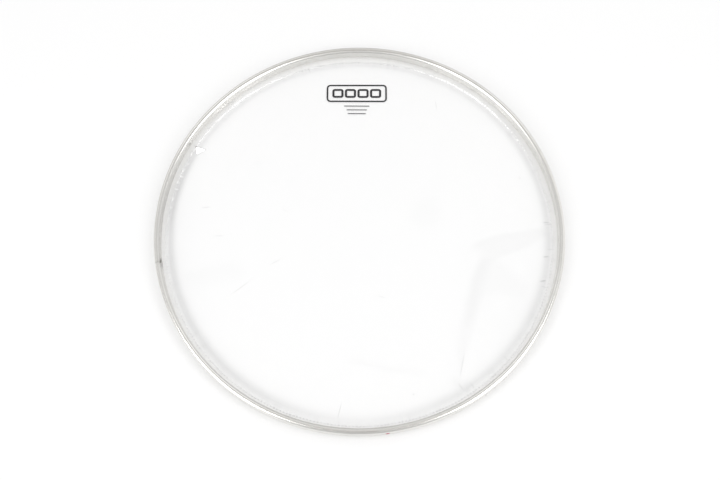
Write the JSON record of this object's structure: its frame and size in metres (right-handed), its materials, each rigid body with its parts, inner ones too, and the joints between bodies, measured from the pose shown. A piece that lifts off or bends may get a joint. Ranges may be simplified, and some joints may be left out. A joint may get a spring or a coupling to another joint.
{
  "type": "drum head",
  "caption": "Clear snare-side drum head: a thin polyester film with a formed collar, its slotted hem potted in resin inside a domed aluminium channel hoop.",
  "frame": {"origin": "centre of the film's outer face, which the head lies on", "axes": "+Z is the head's axis, up from the film towards the hoop's closed web; +Y points away from the picture's camera and +X to its right"},
  "size_m": [0.37, 0.37, 0.015],
  "materials": {
    "hoop_aluminium": "bare rolled strip, bright",
    "clear_film": "clear polyester film",
    "set_resin": "set resin, pale amber"
  },
  "bodies": {
    "root": {"hoop_channel": "hoop_aluminium", "film": "clear_film", "potting_resin": "set_resin"}
  },
  "joints": []
}
